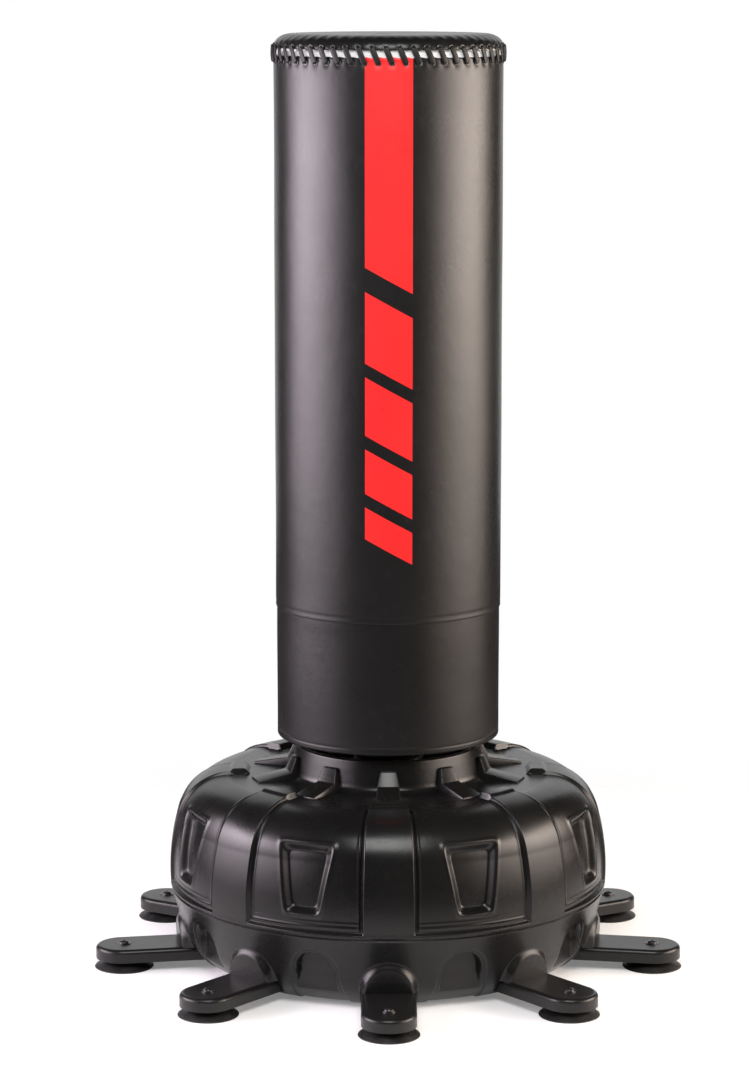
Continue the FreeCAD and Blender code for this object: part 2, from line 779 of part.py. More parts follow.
def top_cap():
    """The domed cover of the top, with a short skirt down to the lacing."""
    inner_top = BAG_TOP_Z - SKIN_THICKNESS
    inside = cap_edge(COVER_INNER_R, inner_top)
    outside = [(0, CAP_SKIRT_Z), (BAG_R, CAP_SKIRT_Z)] + cap_edge(BAG_R, BAG_TOP_Z)
    cap = revolved(outside + [(0, BAG_TOP_Z)])
    low = CAP_SKIRT_Z - 1.0
    space = revolved([(0, low), (COVER_INNER_R, low)] + inside + [(0, inner_top)])
    return cap.cut(space)


def lace_points(degrees):
    """The outer ends of one strand: high on the cap, low on the cover."""
    run_r = BAG_R + EYELET_THICKNESS + SOFT_GAP + LACE_CORD_R
    half = LACE_SLANT_DEG / 2.0
    hx, hy = polar(run_r, degrees - half)
    lx, ly = polar(run_r, degrees + half)
    return Vector(hx, hy, LACE_HIGH_Z), Vector(lx, ly, LACE_LOW_Z)


def lace_strand():
    high, low = lace_points(0.0)
    run = low.sub(high)
    parts = [Part.makeCylinder(LACE_CORD_R, run.Length, high, run)]
    for end in (high, low):
        inward = Vector(-end.x, -end.y, 0)
        inward.normalize()
        depth = math.hypot(end.x, end.y) - BAG_R - SOFT_GAP
        parts.append(Part.makeSphere(LACE_CORD_R, end))
        parts.append(Part.makeCylinder(LACE_CORD_R, depth, end, inward))
    return parts[0].fuse(parts[1:]).removeSplitter()


def lacing():
    return Part.makeCompound(around(lace_strand(), LACE_COUNT, FRONT_DEG))


def eyelets():
    rings = []
    for end in lace_points(0.0):
        outward = Vector(end.x, end.y, 0)
        outward.normalize()
        base = Vector(outward.x * (BAG_R + FIT_GAP), outward.y * (BAG_R + FIT_GAP), end.z)
        washer = Part.makeCylinder(EYELET_R, EYELET_THICKNESS, base, outward)
        washer = washer.cut(Part.makeCylinder(EYELET_BORE_R, EYELET_THICKNESS, base, outward))
        rings += around(washer, LACE_COUNT, FRONT_DEG)
    return Part.makeCompound(rings)


def export(name, shape):
    print(name, shape.isValid(), len(shape.Solids), round(shape.Volume / 1e6, 3))
    shape.exportStep(os.path.join("parts", name + ".step"))


def main():
    os.makedirs("parts", exist_ok=True)
    single = (
        base_tank,
        ballast_water,
        fill_plug,
        fill_plug_seal,
        leg_bolts,
        spring_base_plate,
        base_plate_bolts,
        coil_spring,
        spring_top_plate,
        bag_base_board,
        core_drum,
        core_clamp_ring,
        core_bolts,
        core_nuts,
        foam_core,
        top_board,
        top_pad,
        lace_band,
        bag_cover,
        lower_sleeve,
        top_cap,
        lacing,
        eyelets,
    )
    for maker in single:
        export(maker.__name__, maker())
    for maker in (leg, suction_cup, cup_screw):
        for i, copy in enumerate(around(maker(), LEG_COUNT, FRONT_DEG)):
            export("%s_%d" % (maker.__name__, i + 1), copy)
    export("cup_washers", Part.makeCompound(around(cup_washer(), LEG_COUNT, FRONT_DEG)))


main()
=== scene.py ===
"""Looks of the free-standing punching bag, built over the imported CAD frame. Metres, +Z up, front to -Y."""

import json
import math

import bmesh
import bpy
import numpy as np
from mathutils import Matrix, Vector


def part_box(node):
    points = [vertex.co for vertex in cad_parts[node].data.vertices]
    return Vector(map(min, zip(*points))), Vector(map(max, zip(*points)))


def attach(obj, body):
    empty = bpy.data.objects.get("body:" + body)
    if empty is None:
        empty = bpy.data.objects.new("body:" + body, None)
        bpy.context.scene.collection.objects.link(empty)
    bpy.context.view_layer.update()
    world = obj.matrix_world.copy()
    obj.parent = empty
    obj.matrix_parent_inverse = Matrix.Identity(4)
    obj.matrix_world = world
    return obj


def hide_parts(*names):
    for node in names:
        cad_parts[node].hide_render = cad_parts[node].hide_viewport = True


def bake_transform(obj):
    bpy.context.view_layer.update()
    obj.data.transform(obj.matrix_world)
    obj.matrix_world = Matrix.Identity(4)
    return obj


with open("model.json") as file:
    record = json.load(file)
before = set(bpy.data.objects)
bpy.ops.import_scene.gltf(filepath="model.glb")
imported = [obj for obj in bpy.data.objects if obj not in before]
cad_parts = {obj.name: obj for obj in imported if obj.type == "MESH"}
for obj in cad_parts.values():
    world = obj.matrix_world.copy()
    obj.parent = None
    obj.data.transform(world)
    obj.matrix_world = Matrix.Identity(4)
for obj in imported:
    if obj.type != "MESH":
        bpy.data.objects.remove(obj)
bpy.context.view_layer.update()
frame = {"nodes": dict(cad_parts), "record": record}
MM = 0.001
FRONT = -math.pi / 2

# Sizes read from the frame
bag_low, bag_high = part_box("bag_cover")
sleeve_low, sleeve_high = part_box("lower_sleeve")
cap_low, cap_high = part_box("top_cap")
plug_low, plug_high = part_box("fill_plug")
BAG_R = (bag_high.y - bag_low.y) / 2
SLEEVE_R = (sleeve_high.y - sleeve_low.y) / 2
HEM_Z = bag_high.z - 2.0 * MM
SEAM_Z = bag_low.z
SKIRT_Z = sleeve_low.z
CAP_SKIRT_Z = cap_low.z + 2.5 * MM
TOP_Z = cap_high.z
SKIN = 3.5 * MM

# Lacing
LACES = 54
LACE_R = 2.2 * MM
LACE_SLANT = math.radians(3.2)
LACE_LOW_Z = 1629.0 * MM
LACE_HIGH_Z = 1655.5 * MM
EYELET_R = 5.0 * MM
EYELET_BORE = 2.7 * MM

# Stripe down the front of the cover
STRIPE_HALF_ANGLE = math.radians(11.7)
STRIPE_END_Z = 1258.0 * MM
STRIPE_SLANT = 0.55
DASHES = ((1216.0, 124.0), (1068.0, 102.0), (942.0, 78.0), (840.0, 56.0))

# Tank, in mm: places on its outline are (radius, height)
LEGS = 9
RIBS = 8
LEG_HALF_WIDTH = 48.0
LEG_TOP = 42.0
LEG_ROOT = 190.0
CHANNEL_CLEARANCE = 2.0
CHANNEL_END = 460.0
RIB_HALF = math.radians(6.5)
PANEL_RECESS = 6.0
BELT = (398.0, 150.0)
LOW_WALL = (397.0, 206.0)
HIP = (386.0, 267.0)
BEND = (354.0, 324.0)
SHOULDER = (289.0, 350.0)
PANEL_SHOULDER = (287.0, 344.0)
GROOVE_TOP = (398.0, 146.0)
BOWL_TOP = (398.0, 142.0)
BOWL = (377.0, 66.0)
HEEL = (352.0, 22.0)
FOOT = (306.0, 0.0)
COLLAR_FOOT = (192.0, 344.0)
RIB_END = (252.0, 344.0)
POCKET_LOW, POCKET_HIGH = 176.0, 298.0
ARCH_SPRING, ARCH_HALF, ARCH_BACK = 71.0, 37.0, 362.0
BOSS_SPRING, BOSS_HALF, BOSS_FACE = 44.0, 53.0, 390.0
PLUG_HOLE_R = 24.1
HOOKS = 10
HOOK_HALF = 19.0
HOOK_TOP_Z = 384.0
HOOK_BEND_Z = 359.0
HOOK_SUNK_Z = 341.0
HOOK_DRAFT = 0.2
HOOK_EDGE = 1.3 * MM

# Studio, in metres
CLOTH_R = 5.4
CLOTH_TOP = 5.2
CLOTH_GAP = math.radians(30.0)
BANK_R = 3.2
BANK_TOP = 1.9
BANK_FLOOR_GAP = 0.02
FLOOR_FADE_START, FLOOR_FADE_END = 0.7, 1.6
FLOOR_GLOW = 0.18
WORLD_FILL = 0.15
CAMERA_PLACE = (-0.0247, -6.0, 1.8)
CAMERA_AIM = (-0.0247, 0.0, 0.771)
CAMERA_LENS = 112.4


# Numbers

def smooth(low, high, x):
    t = np.clip((x - low) / (high - low), 0.0, 1.0)
    return t * t * (3.0 - 2.0 * t)


def bump_at(x, centre, width):
    return np.exp(-(((x - centre) / width) ** 2))


def line_points(points, count):
    """count points evenly spaced along a polyline."""
    p = np.array(points, float)
    steps = np.hypot(*np.diff(p, axis=0).T)
    along = np.concatenate([[0.0], np.cumsum(steps)])
    t = np.linspace(0.0, along[-1], count)
    return np.stack([np.interp(t, along, p[:, 0]), np.interp(t, along, p[:, 1])], 1)


def arc_points(start, middle, end, count=40):
    """Points on the arc through three places."""
    (ax, ay), (bx, by), (cx, cy) = start, middle, end
    d = 2 * (ax * (by - cy) + bx * (cy - ay) + cx * (ay - by))
    ux = ((ax**2 + ay**2) * (by - cy) + (bx**2 + by**2) * (cy - ay) + (cx**2 + cy**2) * (ay - by)) / d
    uy = ((ax**2 + ay**2) * (cx - bx) + (bx**2 + by**2) * (ax - cx) + (cx**2 + cy**2) * (bx - ax)) / d
    r = math.hypot(ax - ux, ay - uy)
    a0, a1, a2 = (math.atan2(y - uy, x - ux) for x, y in (start, middle, end))
    turn = (a2 - a0) % (2 * math.pi)
    if (a1 - a0) % (2 * math.pi) > turn:
        turn -= 2 * math.pi
    t = a0 + np.linspace(0, turn, count)
    return list(zip(ux + r * np.cos(t), uy + r * np.sin(t)))


# Meshes

def new_object(name, verts, faces, smooth_angle=40.0):
    mesh = bpy.data.meshes.new(name)
    mesh.from_pydata([tuple(v) for v in verts], [], faces)
    mesh.validate()
    mesh.shade_smooth()
    if smooth_angle:
        mesh.set_sharp_from_angle(angle=math.radians(smooth_angle))
    obj = bpy.data.objects.new(name, mesh)
    bpy.context.scene.collection.objects.link(obj)
    return obj


def grid_object(name, points, close_rows=False, smooth_angle=40.0, caps=False):
    """A surface from points[row, column, 3] that is closed round its columns, and round its rows or with
    end caps if asked."""
    rows, cols, _ = points.shape
    index = np.arange(rows * cols).reshape(rows, cols)
    below = index if close_rows else index[:-1]
    above = np.roll(index, -1, 0) if close_rows else index[1:]
    quads = np.stack([below, np.roll(below, -1, 1), np.roll(above, -1, 1), above], -1).reshape(-1, 4)
    verts = points.reshape(-1, 3)
    faces = quads.tolist()
    if caps:
        first, last = len(verts), len(verts) + 1
        verts = np.concatenate([verts, [points[0].mean(0)], [points[-1].mean(0)]])
        for c in range(cols):
            n = (c + 1) % cols
            faces.append([int(index[0, n]), int(index[0, c]), first])
            faces.append([int(index[-1, c]), int(index[-1, n]), last])
    return new_object(name, verts, faces, smooth_angle)


def lathe(name, profile, segments=96, smooth_angle=40.0):
    """A closed outline [(r, z)] in metres, turned about the vertical axis."""
    p = np.array(profile, float)
    t = np.linspace(0, 2 * math.pi, segments, endpoint=False)
    points = np.stack(
        [
            p[:, :1] * np.cos(t),
            p[:, :1] * np.sin(t),
            np.repeat(p[:, 1:], segments, 1),
        ],
        -1,
    )
    return grid_object(name, points, close_rows=True, smooth_angle=smooth_angle)


def joined(name, meshes, smooth_angle=40.0):
    """One object from several (verts, faces)."""
    verts, faces, base = [], [], 0
    for v, f in meshes:
        verts += [tuple(x) for x in v]
        faces += [[i + base for i in face] for face in f]
        base += len(v)
    return new_object(name, verts, faces, smooth_angle)


# Materials

class Nodes:
    """A small wrapper round one material's node tree."""

    def __init__(self, name):
        self.material = bpy.data.materials.new(name)
        self.material.use_nodes = True
        self.tree = self.material.node_tree
        self.shader = self.tree.nodes["Principled BSDF"]
        self.coordinates = self.tree.nodes.new("ShaderNodeTexCoord").outputs["Object"]

    def link(self, source, target):
        self.tree.links.new(source, target)

    def put(self, target, value):
        if isinstance(value, bpy.types.NodeSocket):
            self.link(value, target)
        else:
            target.default_value = value

    def noise(self, scale, detail=4.0, roughness=0.55, vector=None):
        node = self.tree.nodes.new("ShaderNodeTexNoise")
        node.inputs["Scale"].default_value = scale
        node.inputs["Detail"].default_value = detail
        node.inputs["Roughness"].default_value = roughness
        self.link(vector or self.coordinates, node.inputs["Vector"])
        return node.outputs["Fac"]

    def voronoi(self, scale, feature="F1"):
        node = self.tree.nodes.new("ShaderNodeTexVoronoi")
        node.feature = feature
        node.inputs["Scale"].default_value = scale
        self.link(self.coordinates, node.inputs["Vector"])
        return node.outputs["Distance"]

    def math(self, operation, a, b=0.0):
        node = self.tree.nodes.new("ShaderNodeMath")
        node.operation = operation
        for socket, value in zip(node.inputs, (a, b)):
            self.put(socket, value)
        return node.outputs[0]

    def remap(self, value, low, high, to_low, to_high):
        node = self.tree.nodes.new("ShaderNodeMapRange")
        node.clamp = True
        for socket, number in zip(node.inputs, (value, low, high, to_low, to_high)):
            self.put(socket, number)
        return node.outputs[0]

    def mix(self, factor, a, b):
        node = self.tree.nodes.new("ShaderNodeMix")
        node.data_type = "RGBA"
        self.put(node.inputs["Factor"], factor)
        for socket, value in ((node.inputs[6], a), (node.inputs[7], b)):
            self.put(socket, value)
        return node.outputs[2]

    def separate(self):
        node = self.tree.nodes.new("ShaderNodeSeparateXYZ")
        self.link(self.coordinates, node.inputs[0])
        return node.outputs

    def bump(self, height, strength, distance, normal=None):
        node = self.tree.nodes.new("ShaderNodeBump")
        node.inputs["Strength"].default_value = strength
        node.inputs["Distance"].default_value = distance
        self.link(height, node.inputs["Height"])
        if normal is not None:
            self.link(normal, node.inputs["Normal"])
        return node.outputs[0]

    def finish(self, colour, roughness, normal=None, **constants):
        self.put(self.shader.inputs["Base Color"], colour)
        self.put(self.shader.inputs["Roughness"], roughness)
        if normal is not None:
            self.link(normal, self.shader.inputs["Normal"])
        for socket, value in constants.items():
            self.shader.inputs[socket.replace("_", " ")].default_value = value
        return self.material


def grey(value, tint=(1.0, 1.0, 1.0)):
    return (value * tint[0], value * tint[1], value * tint[2], 1.0)


def leather_grain(n):
    """A pebbled grain: rounded cells about 1.6 mm across with finer pores and long faint wrinkles."""
    warp = n.noise(180.0, 2.0)
    cells = n.voronoi(620.0)
    edges = n.voronoi(620.0, "DISTANCE_TO_EDGE")
    pebble = n.math("SUBTRACT", n.remap(edges, 0.0, 0.22, 0.0, 1.0), n.math("MULTIPLY", cells, 0.35))
    pores = n.noise(2600.0, 2.0)
    height = n.math("ADD", pebble, n.math("MULTIPLY", pores, 0.35))
    height = n.math("ADD", height, n.math("MULTIPLY", warp, 1.1))
    normal = n.bump(height, 0.1, 0.00045)
    return height, n.bump(n.noise(11.0, 5.0, 0.6), 0.16, 0.006, normal)


def stripe_mask(n):
    """1 on the front stripe and on the slanted dashes under it."""
    x, y, z = n.separate()
    angle = n.math("ARCTAN2", x, n.math("MULTIPLY", y, -1.0))
    off = n.math("SUBTRACT", STRIPE_HALF_ANGLE, n.math("ABSOLUTE", angle))
    across = n.remap(off, -0.0012, 0.0012, 0.0, 1.0)
    level = n.math("ADD", z, n.math("MULTIPLY", x, STRIPE_SLANT))
    mask = n.remap(level, STRIPE_END_Z - 0.0003, STRIPE_END_Z + 0.0003, 0.0, 1.0)
    for top, length in DASHES:
        below = n.remap(level, (top - 0.3) * MM, (top + 0.3) * MM, 1.0, 0.0)
        above = n.remap(level, (top - length - 0.3) * MM, (top - length + 0.3) * MM, 0.0, 1.0)
        mask = n.math("MAXIMUM", mask, n.math("MULTIPLY", below, above))
    return n.math("MULTIPLY", mask, across)


def leather(name, striped=False, tone=1.0):
    n = Nodes(name)
    height, normal = leather_grain(n)
    cloud = n.noise(5.0, 4.0, 0.6)
    scuff = n.remap(n.noise(38.0, 6.0, 0.7), 0.58, 0.75, 0.0, 1.0)
    dark = n.mix(cloud, grey(0.006 * tone, (1.0, 0.97, 1.0)), grey(0.011 * tone, (1.03, 1.0, 0.98)))
    colour = n.mix(n.math("MULTIPLY", scuff, 0.35), dark, grey(0.028 * tone))
    rough = n.remap(height, 0.2, 1.9, 0.36, 0.27)
    rough = n.math("ADD", rough, n.math("MULTIPLY", n.math("SUBTRACT", cloud, 0.5), 0.1))
    if striped:
        mask = stripe_mask(n)
        red = n.mix(cloud, (0.80, 0.016, 0.018, 1.0), (0.92, 0.028, 0.026, 1.0))
        colour = n.mix(mask, colour, red)
    return n.finish(colour, rough, normal, Specular_IOR_Level=0.36)


def moulded(name, base=0.0055, rough=0.27, grain=1500.0, depth=0.05):
    """Black moulded plastic: a fine satin texture, slow flow marks and dusty scuffs."""
    n = Nodes(name)
    flow = n.noise(7.0, 3.0, 0.5)
    dust = n.remap(n.noise(55.0, 7.0, 0.72), 0.55, 0.8, 0.0, 1.0)
    fine = n.noise(grain, 2.0)
    colour = n.mix(flow, grey(base * 0.8, (1.0, 0.98, 1.0)), grey(base * 1.35, (1.02, 1.0, 0.97)))
    colour = n.mix(n.math("MULTIPLY", dust, 0.22), colour, grey(base * 2.6))
    rough_map = n.remap(flow, 0.3, 0.7, rough - 0.035, rough + 0.045)
    rough_map = n.math("ADD", rough_map, n.math("MULTIPLY", dust, 0.07))
    rough_map = n.math("ADD", rough_map, n.math("MULTIPLY", n.math("SUBTRACT", fine, 0.5), 0.05))
    normal = n.bump(fine, depth, 0.0004)
    normal = n.bump(n.noise(26.0, 3.0), 0.07, 0.004, normal)
    return n.finish(colour, rough_map, normal, Specular_IOR_Level=0.32)


def rubber(name):
    n = Nodes(name)
    bloom = n.remap(n.noise(48.0, 6.0, 0.7), 0.42, 0.72, 0.0, 1.0)
    fine = n.noise(2200.0, 3.0)
    colour = n.mix(bloom, grey(0.0075), grey(0.021, (1.0, 1.0, 1.02)))
    rough = n.math("ADD", n.remap(bloom, 0.0, 1.0, 0.42, 0.56), n.math("MULTIPLY", fine, 0.05))
    return n.finish(colour, rough, n.bump(fine, 0.12, 0.0003))


def metal(name, base, rough, streak=(1.0, 1.0, 1.0)):
    n = Nodes(name)
    stretch = n.tree.nodes.new("ShaderNodeMapping")
    stretch.inputs["Scale"].default_value = streak
    n.link(n.coordinates, stretch.inputs["Vector"])
    lines = n.noise(900.0, 4.0, 0.6, stretch.outputs[0])
    stain = n.noise(60.0, 5.0, 0.6)
    colour = n.mix(stain, tuple(c * 0.82 for c in base) + (1.0,), tuple(base) + (1.0,))
    roughness = n.math("ADD", rough, n.math("MULTIPLY", n.math("SUBTRACT", lines, 0.5), 0.22))
    return n.finish(colour, roughness, n.bump(lines, 0.06, 0.0002), Metallic=1.0)


def coated(name):
    """Black powder coat: an orange-peel skin."""
    n = Nodes(name)
    peel = n.noise(520.0, 2.0)
    stain = n.noise(18.0, 4.0)
    colour = n.mix(stain, grey(0.012), grey(0.022))
    return n.finish(colour, n.remap(stain, 0.3, 0.7, 0.38, 0.5), n.bump(peel, 0.22, 0.0006))


def cord_fibre(name):
    n = Nodes(name)
    fibre = n.noise(3800.0, 5.0, 0.7)
    colour = n.mix(fibre, grey(0.003), grey(0.011))
    rough = n.remap(fibre, 0.3, 0.7, 0.4, 0.56)
    return n.finish(colour, rough, n.bump(fibre, 0.3, 0.0003), Specular_IOR_Level=0.3)


def liner_weave(name):
    """Light silver-grey taffeta: a fine over-and-under weave."""
    n = Nodes(name)
    x, y, z = n.separate()
    round_way = n.math("MULTIPLY", n.math("ARCTAN2", x, y), BAG_R)
    warp = n.math("SINE", n.math("MULTIPLY", round_way, 2 * math.pi / 0.0011))
    weft = n.math("SINE", n.math("MULTIPLY", z, 2 * math.pi / 0.0011))
    weave = n.math("MULTIPLY", warp, weft)
    cloud = n.noise(90.0, 3.0)
    colour = n.mix(cloud, (0.74, 0.75, 0.76, 1.0), (0.9, 0.9, 0.91, 1.0))
    return n.finish(colour, n.remap(weave, -1.0, 1.0, 0.36, 0.5), n.bump(weave, 0.4, 0.0003))


def plywood(name):
    n = Nodes(name)
    x, y, z = n.separate()
    plies = n.math("SINE", n.math("MULTIPLY", z, 2 * math.pi / 0.003))
    figure = n.noise(30.0, 6.0, 0.6)
    colour = n.mix(figure, (0.42, 0.27, 0.14, 1.0), (0.66, 0.48, 0.28, 1.0))
    colour = n.mix(n.remap(plies, -0.2, 0.2, 0.0, 0.25), colour, (0.25, 0.15, 0.08, 1.0))
    return n.finish(colour, 0.62, n.bump(figure, 0.2, 0.0008))


def foam(name):
    n = Nodes(name)
    cells = n.voronoi(420.0)
    colour = n.mix(n.noise(14.0), (0.55, 0.55, 0.53, 1.0), (0.72, 0.72, 0.7, 1.0))
    return n.finish(colour, 0.85, n.bump(cells, 0.45, 0.0012))


def water(name):
    n = Nodes(name)
    colour = n.mix(n.noise(6.0), (0.16, 0.3, 0.36, 1.0), (0.25, 0.42, 0.48, 1.0))
    return n.finish(colour, 0.12, n.bump(n.noise(30.0), 0.1, 0.002))


MATERIALS = {
    "tank_plastic": moulded("tank_satin"),
    "leg_plastic": moulded("leg_satin", base=0.0065, rough=0.3, grain=1100.0, depth=0.07),
    "plug_plastic": moulded("plug_satin", base=0.014, rough=0.4),
    "water_fill": water("water_fill"),
    "cup_rubber": rubber("cup_rubber"),
    "zinc_steel": metal("dark_zinc", (0.16, 0.16, 0.165), 0.34),
    "coated_steel": coated("powder_coat"),
    "plywood": plywood("birch_ply"),
    "foam": foam("closed_cell_foam"),
    "liner": liner_weave("silver_liner"),
    "grained_leather": leather("black_grain"),
    "lace_cord": cord_fibre("black_cord"),
}
COVER_LEATHER = leather("black_grain_with_red_stripe", striped=True)
SLEEVE_LEATHER = leather("black_grain_sleeve", tone=0.9)
GROMMET_METAL = metal("dark_nickel", (0.13, 0.13, 0.128), 0.3)


def give(obj, material):
    obj.data.materials.clear()
    obj.data.materials.append(material)


def place(obj, body, slot_name, material=None, stands_for=()):
    """Material, body and the CAD nodes that a new piece stands for."""
    give(obj, material or MATERIALS[slot_name])
    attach(obj, body)
    if stands_for:
        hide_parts(*stands_for)


def finish_cad_nodes():
    for entry in frame["record"]["subparts"]:
        node = frame["nodes"][entry["node"]]
        for slot in node.material_slots:
            slot.material = MATERIALS[entry["material_slot"]]


# Tank

def tank_profiles():
    """Matched outlines (r, z) in mm of the tank between its ribs and on a rib."""
    belt, low_wall, hip, bend = ((r - PANEL_RECESS, z) for r, z in (BELT, LOW_WALL, HIP, BEND))
    wall_low = arc_points(belt, low_wall, hip)
    wall_high = arc_points(hip, bend, PANEL_SHOULDER)
    rib_low = arc_points(BELT, LOW_WALL, HIP)
    rib_high = arc_points(HIP, BEND, SHOULDER)
    well = [(150.0, 300.5), (157.5, 396.0), (159.4, 400.6), (162.0, 402.0), (165.0, 401.6), (168.0, 399.0)]
    collar = [(168.0, 399.0), (171.0, 384.0)]
    below = [
        (wall_high[::-1] + wall_low[::-1], 124),
        ([belt, GROOVE_TOP], 5),
    ]
    rib_side = [
        (rib_high[::-1] + rib_low[::-1], 124),
        ([BELT, GROOVE_TOP], 5),
    ]
    bowl = [GROOVE_TOP, BOWL_TOP] + arc_points(BOWL, HEEL, FOOT)
    foot = [(bowl, 108), ([FOOT, (182.0, 0.0), (20.0, 0.0)], 26)]
    collar_foot = [collar[-1], (176.0, 356.0), (178.5, 350.0), (184.0, 345.6), COLLAR_FOOT]
    panel = [(well, 40), (collar, 10), (collar_foot, 24), ([COLLAR_FOOT, RIB_END], 24)]
    rib_top = [RIB_END, (261.0, 354.4), (263.5, 355.0), (283.0, 355.0), SHOULDER]
    rib = panel + [(rib_top, 22)] + rib_side + foot
    panel += [([RIB_END, PANEL_SHOULDER], 22)] + below + foot
    return (np.concatenate([line_points(p, c) for p, c in outline]) for outline in (panel, rib))


def soften(profile):
    """Rounds the corners of an outline by averaging along it."""
    padded = np.concatenate([profile[:1], profile, profile[-1:]])
    return (padded[:-2] + 2 * padded[1:-1] + padded[2:]) / 4


def nearest_offset(angle, count, start):
    """Angle to the nearest of count directions that begin at start."""
    step = 2 * math.pi / count
    return (angle - start + step / 2) % step - step / 2


def corner_distance(*distances):
    """Distance inside several edges at once, rounded where they meet."""
    return -np.log(sum(np.exp(-0.22 * d) for d in distances)) / 0.22


def tank_relief(angle, radius, height):
    """Outward displacement in mm of pockets, ridges and bosses."""
    relief = np.zeros(radius.shape)

    # tapered side pockets between the ribs
    u = radius * np.sin(nearest_offset(angle, RIBS, FRONT + math.pi / RIBS))
    half_width = np.interp(height, [POCKET_LOW, POCKET_HIGH], [33.0, 52.0])
    side = corner_distance(half_width - np.abs(u), height - POCKET_LOW, POCKET_HIGH - height)
    relief -= 12.5 * smooth(0.5, 12.5, side)
    relief += 1.4 * bump_at(side, -1.5, 3.0)

    # a raised double line along the foot of each panel
    rib_u = radius * nearest_offset(angle, RIBS, FRONT)
    panel = smooth(0.0, 4.0, np.abs(rib_u) - radius * RIB_HALF - 6.0)
    relief += panel * (1.5 * bump_at(height, 158.5, 1.9) + 0.9 * bump_at(height, 165.0, 1.6))

    # the step line beside each rib, and the belt groove
    edge = np.abs(np.abs(rib_u) - radius * RIB_HALF - 4.5)
    upper = smooth(150.0, 158.0, height) * smooth(282.0, 292.0, radius)
    relief -= 2.3 * bump_at(edge, 0.0, 1.8) * upper
    relief += 0.8 * bump_at(edge, 4.6, 1.8) * upper
    relief -= 3.0 * smooth(3.4, 2.2, np.abs(height - 139.0))

    # arched recesses in the bowl, with a second outline round them
    u = radius * np.sin(nearest_offset(angle, LEGS, FRONT + math.pi / LEGS))
    over = height - ARCH_SPRING
    below = np.abs(u) - 3.5 * smooth(ARCH_SPRING, 20.0, height)
    arch = ARCH_HALF - np.where(over > 0.0, np.hypot(u, over), below)
    bowl = (radius < 402.0) * smooth(134.0, 130.0, height)
    depth = np.clip(radius - ARCH_BACK, 0.0, 26.0)
    relief -= bowl * (2.4 * smooth(-8.5, -6.5, arch) + depth * smooth(0.0, 6.0, arch))

    # bell-shaped bosses over the legs
    u = radius * np.sin(nearest_offset(angle, LEGS, FRONT))
    over = height - BOSS_SPRING
    shape = BOSS_HALF - np.where(over > 0.0, np.hypot(u, over * 0.98), np.abs(u))
    rise = np.clip(BOSS_FACE - radius, 0.0, 26.0) * smooth(0.0, 13.0, shape)
    relief += rise * smooth(39.0, 45.0, height) * smooth(120.0, 100.0, height)
    return relief


def apply_modifiers(obj):
    evaluated = obj.evaluated_get(bpy.context.evaluated_depsgraph_get())
    mesh = bpy.data.meshes.new_from_object(evaluated)
    obj.modifiers.clear()
    obj.data = mesh


def cut(obj, tool):
    """Takes the tool's volume out of obj."""
    modifier = obj.modifiers.new("cut", "BOOLEAN")
    modifier.operation = "DIFFERENCE"
    modifier.solver = "MANIFOLD"
    modifier.object = tool
    apply_modifiers(obj)
    bpy.data.objects.remove(tool)


def channel_tool():
    """The space that each leg is slid into, under the tank."""
    meshes = []
    for i in range(LEGS):
        a = FRONT + 2 * math.pi * i / LEGS
        turn = Matrix.Rotation(a, 3, "Z")
        half = (LEG_HALF_WIDTH + CHANNEL_CLEARANCE) * MM
        corners = []
        for x in (LEG_ROOT - CHANNEL_CLEARANCE, CHANNEL_END):
            for y, z in ((-half, -0.02), (half, -0.02), (half, LEG_TOP * MM), (-half, LEG_TOP * MM)):
                corners.append(turn @ Vector((x * MM, y, z)))
        faces = [[0, 1, 2, 3], [7, 6, 5, 4], [4, 5, 1, 0], [5, 6, 2, 1], [6, 7, 3, 2], [7, 4, 0, 3]]
        meshes.append((corners, faces))
    return joined("channels", meshes, None)


def plug_hole_tool():
    centre = (plug_low + plug_high) / 2
    radius = PLUG_HOLE_R * MM
    t = np.linspace(0, 2 * math.pi, 64, endpoint=False)
    x, y = centre.x + radius * np.cos(t), centre.y + radius * np.sin(t)
    points = np.stack([np.stack([x, y, 0 * t + z], -1) for z in (0.322, 0.40)])
    return grid_object("plug_hole", points, caps=True, smooth_angle=None)


def build_tank():
    columns = 1800
    panel, rib = (soften(profile) for profile in tank_profiles())
    angle = np.linspace(0, 2 * math.pi, columns, endpoint=False)[None, :]
    on_rib = smooth(-1.8, 1.8, rib[:, :1] * (RIB_HALF - np.abs(nearest_offset(angle, RIBS, FRONT))))
    r = panel[:, :1] * (1 - on_rib) + rib[:, :1] * on_rib
    z = panel[:, 1:] * (1 - on_rib) + rib[:, 1:] * on_rib
    along = np.gradient(panel, axis=0)
    along /= np.hypot(*along.T)[:, None]
    nr, nz = -along[:, 1:], along[:, :1]
    relief = tank_relief(angle, r, z)
    relief *= smooth(176.0, 186.0, r) * smooth(298.0, 308.0, r + (z > 60.0) * 400.0)
    r = r + nr * relief
    z = np.maximum(z + nz * relief, 0.0)
    points = np.stack([r * np.cos(angle), r * np.sin(angle), z], -1) * MM
    tank = grid_object("tank_shell", points, caps=True, smooth_angle=None)
    tank.data.flip_normals()
    cut(tank, channel_tool())
    cut(tank, plug_hole_tool())
    tank.data.shade_smooth()
    tank.data.set_sharp_from_angle(angle=math.radians(48.0))
    place(tank, "base", "tank_plastic", stands_for=["base_tank"])


